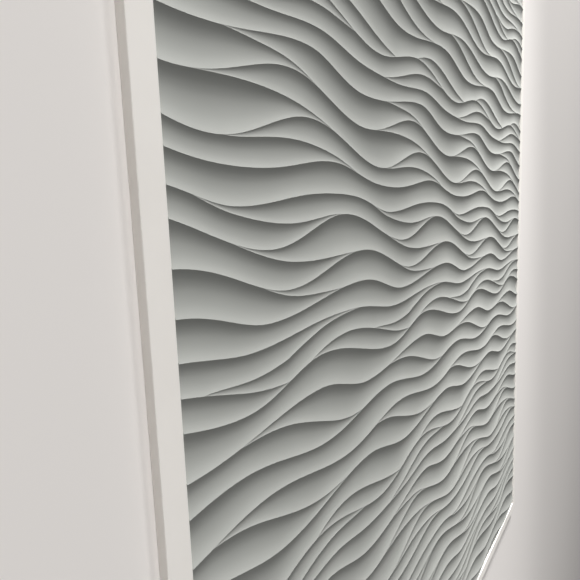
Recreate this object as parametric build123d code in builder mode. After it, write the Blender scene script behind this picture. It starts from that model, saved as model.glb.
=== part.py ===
"""A carved wave wall panel in a plain square-edged frame, lying on its back with its face up."""

import math
import os
from typing import NamedTuple

from build123d import *

# Sheet
sheet_width = 1830.0
sheet_height = 2440.0
channel_depth = 6.0
floor_thickness = 10.0
sheet_thickness = channel_depth + floor_thickness

# Frame rails around the sheet, level with its ridges
rail_face = 36.0
rail_thickness = sheet_thickness
rail_edge_radius = 1.5

# Repeat of the carved waves, and how far it starts outside the sheet's left edge
repeat_width = 457.5
repeat_height = 899.0
repeat_lead = 23.0

# Stations along one repeat, where the ridges bend
stations = 8
station_step = repeat_width / stations

# Section of a channel from ridge to ridge: shares of its width and of its depth
SECTION = [(0.0, 0.0), (0.3, 1.0), (0.7, 1.0), (1.0, 0.0)]


class Ridge(NamedTuple):
    """A ridge all along the sheet: its crest and trough, as shares of the repeat, and how peaked it is."""

    crest_x: float
    crest_y: float
    trough_x: float
    trough_y: float
    peak: float = 1.0


class Swell(NamedTuple):
    """A ridge that parts from the ridge below it at one station and rejoins it at another."""

    leave: int
    meet: int
    rise: float
    lean: float


class Fold(NamedTuple):
    """A ridge that parts from one of its neighbours and runs across to the other, more or less straight."""

    leave: int
    meet: int
    falls: bool
    lean: float = 1.0
    ease: float = 0.0


# Lines of one repeat, from the bottom up
LINES = [
    Ridge(0.25, 0.041, 0.73, 0.007),
    Fold(2, 8, falls=True),
    Ridge(0.68, 0.118, 0.06, 0.081),
    Ridge(0.72, 0.182, 0.29, 0.134),
    Swell(5, 12, rise=0.048, lean=1.15),
    Fold(1, 8, falls=False, lean=0.76),
    Ridge(0.90, 0.250, 0.33, 0.228, peak=0.7),
    Ridge(0.03, 0.304, 0.42, 0.266, peak=0.9),
    Fold(3, 7, falls=True, ease=0.8),
    Ridge(0.04, 0.368, 0.52, 0.314, peak=0.9),
    Fold(2, 8, falls=True, lean=0.9, ease=0.8),
    Ridge(0.90, 0.442, 0.43, 0.383),
    Fold(1, 7, falls=True),
    Ridge(0.88, 0.480, 0.28, 0.449, peak=0.6),
    Ridge(0.82, 0.538, 0.28, 0.506, peak=1.4),
    Fold(2, 8, falls=True, lean=0.93),
    Ridge(0.68, 0.605, 0.20, 0.545),
    Fold(1, 7, falls=True, ease=1.0),
    Ridge(0.58, 0.675, 0.07, 0.619, peak=1.1),
    Fold(2, 6, falls=True, lean=0.9, ease=1.0),
    Ridge(0.68, 0.725, 0.07, 0.685, peak=1.2),
    Ridge(0.75, 0.763, 0.20, 0.742, peak=1.9),
    Fold(2, 8, falls=False, ease=-0.8),
    Ridge(0.67, 0.832, 0.18, 0.785),
    Swell(5, 11, rise=0.046, lean=1.05),
    Ridge(0.03, 0.910, 0.45, 0.873),
    Fold(1, 7, falls=True, lean=0.87),
    Ridge(0.37, 0.983, 0.88, 0.950),
]


def ridge_height(ridge, place):
    """Half a cosine from crest to trough and half one back, at a place in stations."""
    fall = (ridge.trough_x - ridge.crest_x) % 1
    past_crest = (place / stations - ridge.crest_x) % 1
    if past_crest <= fall:
        turn = past_crest / fall
    else:
        turn = 1 + (past_crest - fall) / (1 - fall)
    level = ((1 + math.cos(math.pi * turn)) / 2) ** ridge.peak
    return ridge.trough_y + (ridge.crest_y - ridge.trough_y) * level


def is_carved(line, column):
    """Whether a line is there between a station and the next one."""
    return isinstance(line, Ridge) or (column - line.leave) % stations < line.meet - line.leave


def line_height(index, column, place):
    """Height of a line, as a share of the repeat's height, at a place within a column of stations."""
    line = LINES[index]
    if isinstance(line, Ridge):
        return ridge_height(line, place)
    low = line_height(index - 1, column, place)
    if not is_carved(line, column):
        return low
    share = (((column - line.leave) % stations + place - column) / (line.meet - line.leave)) ** line.lean
    if isinstance(line, Swell):
        return low + line.rise * math.sin(math.pi * share)
    high = line_height(index + 1, column, place)
    eased = share + line.ease * share * (1 - share) * (2 * share - 1)
    return high + (low - high) * eased if line.falls else low + (high - low) * eased


def column_bands(column):
    """The channels in a column of stations: the heights of both ends of their lower and upper edges."""
    edges = []
    for index, line in enumerate(LINES):
        if is_carved(line, column):
            edges.append([line_height(index, column, column + end) * repeat_height for end in (0, 1)])
    edges.append([height + repeat_height for height in edges[0]])
    return list(zip(edges[:-1], edges[1:]))


BANDS = [column_bands(column) for column in range(stations)]
widest = max(high - low for bands in BANDS for lower, upper in bands for low, high in zip(lower, upper))


def channel_faces(lower, upper):
    """One column of a channel: its floor and its two sloping sides, all flat between stations."""
    lines = []
    for across, down in SECTION:
        line = []
        for x, low, high in zip((0, station_step), lower, upper):
            width = high - low
            depth = channel_depth * width / widest
            line.append(Vector(x, low + across * width, sheet_thickness - down * depth))
        lines.append(line)
    faces = []
    for near, far in zip(lines[:-1], lines[1:]):
        corners = [*near, *reversed(far)]
        before = [corners[-1], *corners[:-1]]
        outline = [corner for corner, last in zip(corners, before) if corner != last]
        faces.append(Face(Wire.make_polygon(outline)))
    return faces


def carved_face():
    """The wave surface over the whole sheet and a little past its edges."""
    faces = []
    for column in range(math.ceil((sheet_width + repeat_lead) / station_step)):
        x = column * station_step - repeat_lead - sheet_width / 2
        for lower, upper in BANDS[column % stations]:
            strips = channel_faces(lower, upper)
            for row in range(-1, math.ceil(sheet_height / repeat_height)):
                y = row * repeat_height
                if y + max(upper) > 0 and y + min(lower) < sheet_height:
                    place = Location((x, y - sheet_height / 2, 0))
                    faces.extend(strip.moved(place) for strip in strips)
    return Shell(faces)


def mitred_rail(plane, opening, distance):
    """A rail with 45 degree ends that frames one side of the sheet, its front edges eased."""
    with BuildPart() as rail:
        with BuildSketch(plane):
            with BuildLine():
                Polyline(
                    (-opening / 2, -distance),
                    (opening / 2, -distance),
                    (opening / 2 + rail_face, -distance - rail_face),
                    (-opening / 2 - rail_face, -distance - rail_face),
                    close=True,
                )
            make_face()
        extrude(amount=rail_thickness)
        front = rail.faces().sort_by(Axis.Z)[-1]
        fillet(front.edges().sort_by(SortBy.LENGTH)[-2:], rail_edge_radius)
    return rail.part


os.makedirs("parts", exist_ok=True)

# Carved sheet: a blank parted along the wave surface, of which the lower piece stays
waves = carved_face()
with BuildPart() as blank:
    Box(sheet_width, sheet_height, 2 * sheet_thickness, align=(Align.CENTER, Align.CENTER, Align.MIN))
    split(bisect_by=waves, keep=Keep.ALL)
with BuildPart() as carved_panel:
    add(blank.solids().sort_by(Axis.Z)[0])
carved_panel.part.label = "carved_panel"
export_step(carved_panel.part, "parts/carved_panel.step")

# Frame
SIDES = [
    ("bottom_rail", 0, sheet_width, sheet_height / 2),
    ("right_stile", 90, sheet_height, sheet_width / 2),
    ("top_rail", 180, sheet_width, sheet_height / 2),
    ("left_stile", 270, sheet_height, sheet_width / 2),
]
for name, turn, opening, distance in SIDES:
    rail = mitred_rail(Plane.XY.rotated((0, 0, turn)), opening, distance)
    rail.label = name
    export_step(rail, f"parts/{name}.step")
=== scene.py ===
"""The carved wave wall panel: its fine relief, paints, light and camera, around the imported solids."""

import math
from typing import NamedTuple

import bmesh
import bpy
from mathutils import Matrix, Vector


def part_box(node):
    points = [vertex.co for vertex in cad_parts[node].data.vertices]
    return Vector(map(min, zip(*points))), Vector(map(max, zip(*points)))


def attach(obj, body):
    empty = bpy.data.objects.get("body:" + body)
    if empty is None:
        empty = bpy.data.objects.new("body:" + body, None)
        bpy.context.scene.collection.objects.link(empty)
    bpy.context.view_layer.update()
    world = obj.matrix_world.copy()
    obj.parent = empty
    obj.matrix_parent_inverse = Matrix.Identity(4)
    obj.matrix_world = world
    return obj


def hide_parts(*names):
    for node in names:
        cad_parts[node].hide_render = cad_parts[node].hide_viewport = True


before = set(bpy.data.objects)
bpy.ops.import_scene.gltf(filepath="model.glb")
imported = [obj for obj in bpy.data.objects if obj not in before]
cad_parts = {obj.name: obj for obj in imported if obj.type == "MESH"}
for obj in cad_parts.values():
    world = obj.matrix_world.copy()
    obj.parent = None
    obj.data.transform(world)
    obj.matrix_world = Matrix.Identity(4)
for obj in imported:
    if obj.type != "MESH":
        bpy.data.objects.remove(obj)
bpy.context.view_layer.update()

# Sheet and relief, in metres
low_corner, high_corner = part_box("carved_panel")
sheet_width = high_corner[0] - low_corner[0]
sheet_height = high_corner[1] - low_corner[1]
sheet_thickness = high_corner[2] - low_corner[2]
channel_depth = 0.006
repeat_width = 0.4575
repeat_height = 0.899
repeat_lead = 0.023
stations = 8
station_step = repeat_width / stations

# Fineness of the relief, and the power of the curve across a channel
steps_per_station = 5
facets_across = 8
flank = 2.3
sharp_ridge = math.radians(14)
weld = 2e-6

# Paint on the sheet and its frame
paint_specular = 0.25
gloss_swing = 0.06
grain_depth = 0.0002
grain_strength = 0.25

# Floor
floor_half = 8.0
floor_gap = 0.0005


class Ridge(NamedTuple):
    """A ridge all along the sheet: crest and trough, as shares of the repeat, and fullness between."""

    crest_x: float
    crest_y: float
    trough_x: float
    trough_y: float
    bulge: float = 0.0


class Swell(NamedTuple):
    """A ridge that parts from the ridge below it at one station and rejoins it at another."""

    leave: int
    meet: int
    rise: float
    lean: float


class Fold(NamedTuple):
    """A ridge that parts from one of its neighbours and runs across to the other, more or less straight."""

    leave: int
    meet: int
    falls: bool
    lean: float = 1.0
    ease: float = 0.0


# Lines of one repeat, from the bottom up
LINES = [
    Ridge(0.25, 0.041, 0.73, 0.007),
    Fold(2, 8, falls=True),
    Ridge(0.68, 0.118, 0.06, 0.081),
    Ridge(0.72, 0.182, 0.29, 0.134),
    Swell(5, 12, rise=0.048, lean=1.15),
    Fold(1, 8, falls=False, lean=0.76),
    Ridge(0.90, 0.250, 0.33, 0.228, bulge=0.46),
    Ridge(0.03, 0.304, 0.42, 0.266, bulge=0.14),
    Fold(3, 7, falls=True, ease=0.8),
    Ridge(0.04, 0.368, 0.52, 0.314, bulge=0.14),
    Fold(2, 8, falls=True, lean=0.9, ease=0.8),
    Ridge(0.90, 0.442, 0.43, 0.383),
    Fold(1, 7, falls=True),
    Ridge(0.88, 0.480, 0.28, 0.449, bulge=0.6),
    Ridge(0.82, 0.538, 0.28, 0.506, bulge=-0.45),
    Fold(2, 8, falls=True, lean=0.93),
    Ridge(0.68, 0.605, 0.20, 0.545),
    Fold(1, 7, falls=True, ease=1.0),
    Ridge(0.58, 0.675, 0.07, 0.619, bulge=-0.13),
    Fold(2, 6, falls=True, lean=0.9, ease=1.0),
    Ridge(0.68, 0.725, 0.07, 0.685, bulge=-0.25),
    Ridge(0.75, 0.763, 0.20, 0.742, bulge=-0.85),
    Fold(2, 8, falls=False, ease=-0.8),
    Ridge(0.67, 0.832, 0.18, 0.785),
    Swell(5, 11, rise=0.046, lean=1.05),
    Ridge(0.03, 0.910, 0.45, 0.873),
    Fold(1, 7, falls=True, lean=0.87),
    Ridge(0.37, 0.983, 0.88, 0.950),
]


def ridge_height(ridge, place):
    """Half a wave from crest to trough and half one back, at a place in stations."""
    fall = (ridge.trough_x - ridge.crest_x) % 1
    past_crest = (place / stations - ridge.crest_x) % 1
    if past_crest <= fall:
        turn = past_crest / fall
    else:
        turn = 1 + (past_crest - fall) / (1 - fall)
    level = (1 + math.cos(math.pi * turn)) / 2
    level += ridge.bulge * level * (1 - level)
    return ridge.trough_y + (ridge.crest_y - ridge.trough_y) * level


def is_carved(line, column):
    """Whether a line is there between a station and the next one."""
    return isinstance(line, Ridge) or (column - line.leave) % stations < line.meet - line.leave


def line_height(index, column, place):
    """Height of a line, as a share of the repeat's height, at a place within a column of stations."""
    line = LINES[index]
    if isinstance(line, Ridge):
        return ridge_height(line, place)
    low = line_height(index - 1, column, place)
    if not is_carved(line, column):
        return low
    share = (((column - line.leave) % stations + place - column) / (line.meet - line.leave)) ** line.lean
    if isinstance(line, Swell):
        return low + line.rise * math.sin(math.pi * share)
    high = line_height(index + 1, column, place)
    eased = share + line.ease * share * (1 - share) * (2 * share - 1)
    return high + (low - high) * eased if line.falls else low + (high - low) * eased


def edge_heights(column, place):
    """Heights of all ridges in one repeat at a place, and of the first ridge of the next repeat."""
    heights = []
    for index, line in enumerate(LINES):
        if is_carved(line, column):
            heights.append(line_height(index, column, place) * repeat_height)
    heights.append(heights[0] + repeat_height)
    return heights


def relief_columns():
    """Pairs of neighbouring ridge profiles over one repeat: their places and their ridges' heights."""
    columns = []
    for column in range(stations):
        for step in range(steps_per_station):
            places = [column + (step + end) / steps_per_station for end in (0, 1)]
            columns.append((places, [edge_heights(column, place) for place in places]))
    return columns


def add_channel(board, xs, lows, highs, widest):
    """A short length of one channel between two ridges, deeper where it is wider."""
    sides = []
    for x, low, high in zip(xs, lows, highs):
        depth = channel_depth * (high - low) / widest
        side = []
        for step in range(facets_across + 1):
            share = (1 - math.cos(math.pi * step / facets_across)) / 2
            z = sheet_thickness - depth * (1 - abs(2 * share - 1) ** flank)
            side.append(board.verts.new((x, low + (high - low) * share, z)))
        sides.append(side)
    near, far = sides
    for step in range(facets_across):
        board.faces.new((near[step], far[step], far[step + 1], near[step + 1]))


def trim_to_sheet(board):
    """Cuts off what runs past the sheet's four edges."""
    for axis, half in ((Vector((1, 0, 0)), sheet_width / 2), (Vector((0, 1, 0)), sheet_height / 2)):
        for outward in (axis, -axis):
            bmesh.ops.bisect_plane(
                board,
                geom=[*board.verts, *board.edges, *board.faces],
                dist=weld,
                plane_co=outward * half,
                plane_no=outward,
                clear_outer=True,
            )


def close_board(board):
    """Adds the sheet's four edges and its flat back."""
    rim = [edge for edge in board.edges if edge.is_boundary]
    walls = bmesh.ops.extrude_edge_only(board, edges=rim)["geom"]
    for piece in walls:
        if isinstance(piece, bmesh.types.BMVert):
            piece.co.z = 0
    foot = [edge for edge in board.edges if edge.is_boundary]
    bmesh.ops.contextual_create(board, geom=foot)
    bmesh.ops.recalc_face_normals(board, faces=board.faces)


def relief_mesh(columns):
    """The waves over the whole sheet as a closed board with sharp ridges."""
    widest = max(b - a for _, ends in columns for end in ends for a, b in zip(end[:-1], end[1:]))
    board = bmesh.new()
    left = -sheet_width / 2 - repeat_lead
    for repeat in range(math.ceil((sheet_width + repeat_lead) / repeat_width)):
        for row in range(-1, math.ceil(sheet_height / repeat_height)):
            bottom = -sheet_height / 2 + row * repeat_height
            for places, ends in columns:
                xs = [left + repeat * repeat_width + place * station_step for place in places]
                if xs[1] < -sheet_width / 2 or xs[0] > sheet_width / 2:
                    continue
                for band in range(len(ends[0]) - 1):
                    lows = [bottom + end[band] for end in ends]
                    highs = [bottom + end[band + 1] for end in ends]
                    if max(highs) >= -sheet_height / 2 and min(lows) <= sheet_height / 2:
                        add_channel(board, xs, lows, highs, widest)
    bmesh.ops.remove_doubles(board, verts=board.verts, dist=weld)
    trim_to_sheet(board)
    close_board(board)
    for face in board.faces:
        face.smooth = True
    mesh = bpy.data.meshes.new("wave_relief")
    board.to_mesh(mesh)
    board.free()
    mesh.set_sharp_from_angle(angle=sharp_ridge)
    return mesh


def paint(name, light, dark, roughness, grain_scale, mottle_scale):
    """A satin paint with slight clouds of colour, uneven gloss and a fine sprayed grain."""
    material = bpy.data.materials.new(name)
    material.use_nodes = True
    tree = material.node_tree
    shader = tree.nodes["Principled BSDF"]
    shader.inputs["Specular IOR Level"].default_value = paint_specular
    place = tree.nodes.new("ShaderNodeTexCoord").outputs["Object"]

    clouds = tree.nodes.new("ShaderNodeTexNoise")
    clouds.inputs["Scale"].default_value = mottle_scale
    clouds.inputs["Detail"].default_value = 5.0
    tree.links.new(place, clouds.inputs["Vector"])
    ramp = tree.nodes.new("ShaderNodeValToRGB")
    ramp.color_ramp.elements[0].position = 0.3
    ramp.color_ramp.elements[0].color = (*dark, 1)
    ramp.color_ramp.elements[1].position = 0.7
    ramp.color_ramp.elements[1].color = (*light, 1)
    tree.links.new(clouds.outputs["Fac"], ramp.inputs["Fac"])
    tree.links.new(ramp.outputs["Color"], shader.inputs["Base Color"])

    gloss = tree.nodes.new("ShaderNodeMapRange")
    gloss.inputs["To Min"].default_value = roughness - gloss_swing
    gloss.inputs["To Max"].default_value = roughness + gloss_swing
    tree.links.new(clouds.outputs["Fac"], gloss.inputs["Value"])
    tree.links.new(gloss.outputs["Result"], shader.inputs["Roughness"])

    grain = tree.nodes.new("ShaderNodeTexNoise")
    grain.inputs["Scale"].default_value = grain_scale
    grain.inputs["Detail"].default_value = 3.0
    tree.links.new(place, grain.inputs["Vector"])
    bump = tree.nodes.new("ShaderNodeBump")
    bump.inputs["Strength"].default_value = grain_strength
    bump.inputs["Distance"].default_value = grain_depth
    tree.links.new(grain.outputs["Fac"], bump.inputs["Height"])
    tree.links.new(bump.outputs["Normal"], shader.inputs["Normal"])
    return material


grey_paint = paint(
    "grey_paint",
    light=(0.39, 0.395, 0.371),
    dark=(0.366, 0.371, 0.348),
    roughness=0.6,
    grain_scale=700.0,
    mottle_scale=9.0,
)
white_paint = paint(
    "white_paint",
    light=(0.92, 0.882, 0.833),
    dark=(0.89, 0.852, 0.803),
    roughness=0.55,
    grain_scale=500.0,
    mottle_scale=14.0,
)

# Carved sheet
relief = bpy.data.objects.new("carved_relief", relief_mesh(relief_columns()))
bpy.context.scene.collection.objects.link(relief)
relief.data.materials.append(grey_paint)
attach(relief, "root")
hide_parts("carved_panel")

# Frame
for name in ("left_stile", "right_stile", "top_rail", "bottom_rail"):
    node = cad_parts[name]
    node.data.materials.clear()
    node.data.materials.append(white_paint)

# Pale floor just under the panel's back
floor_mesh = bpy.data.meshes.new("floor")
floor_mesh.from_pydata(
    [
        (-floor_half, -floor_half, 0),
        (floor_half, -floor_half, 0),
        (floor_half, floor_half, 0),
        (-floor_half, floor_half, 0),
    ],
    [],
    [(0, 1, 2, 3)],
)
floor = bpy.data.objects.new("floor", floor_mesh)
bpy.context.scene.collection.objects.link(floor)
floor.location.z = -floor_gap
floor_paint = bpy.data.materials.new("floor_paint")
floor_paint.use_nodes = True
floor_shader = floor_paint.node_tree.nodes["Principled BSDF"]
floor_shader.inputs["Base Color"].default_value = (0.83, 0.793, 0.763, 1)
floor_shader.inputs["Roughness"].default_value = 0.9
floor_shader.inputs["Specular IOR Level"].default_value = 0.1
floor_mesh.materials.append(floor_paint)


def add_lamp(name, kind, power, location, aim):
    """A lamp pointed at a place, and hidden from the camera."""
    lamp = bpy.data.objects.new(name, bpy.data.lights.new(name, kind))
    lamp.data.energy = power
    lamp.location = location
    lamp.rotation_euler = (Vector(aim) - Vector(location)).to_track_quat("-Z", "Y").to_euler()
    lamp.visible_camera = False
    bpy.context.scene.collection.objects.link(lamp)
    return lamp.data


# Light: a soft key far beyond the panel's top, a soft spot at its right, a weak sun, a bounce and a fill
key = add_lamp("key", "AREA", power=3620, location=(-1.8, 13.0, 3.7), aim=(0, 0, 0))
key.size = 2.5
bounce = add_lamp("bounce", "AREA", power=42, location=(-1.5, -4.0, 1.6), aim=(-0.4, 0, 0))
bounce.size = 2.0
spot = add_lamp("spot", "SPOT", power=800, location=(0.9, 3.8, 1.1), aim=(0.65, -0.6, 0))
spot.shadow_soft_size = 0.4
spot.spot_size = math.radians(28)
spot.spot_blend = 1.0
sun = add_lamp("sun", "SUN", power=0.62, location=(0.78, 0.5, 0.96), aim=(0, 0, 0))
sun.angle = math.radians(14)

world = bpy.data.worlds.new("fill")
world.use_nodes = True
background = world.node_tree.nodes["Background"]
background.inputs["Color"].default_value = (1.0, 0.99, 0.97, 1)
background.inputs["Strength"].default_value = 0.03
bpy.context.scene.world = world

# Camera, close to the face at the panel's left
camera = bpy.data.objects.new("camera", bpy.data.cameras.new("camera"))
camera.data.sensor_width = 36.0
camera.data.lens = 28.42
camera.data.clip_start = 0.01
right = Vector((0.60556, -0.03863, 0.79484))
up = Vector((0.11854, 0.99203, -0.04214))
forward = Vector((0.78687, -0.11978, -0.60531))
pose = Matrix((right, up, -forward)).transposed().to_4x4()
pose.translation = (-1.2428, 0.0436, 0.434)
camera.matrix_world = pose
bpy.context.scene.collection.objects.link(camera)
bpy.context.scene.camera = camera
bpy.context.scene.view_settings.view_transform = "Standard"
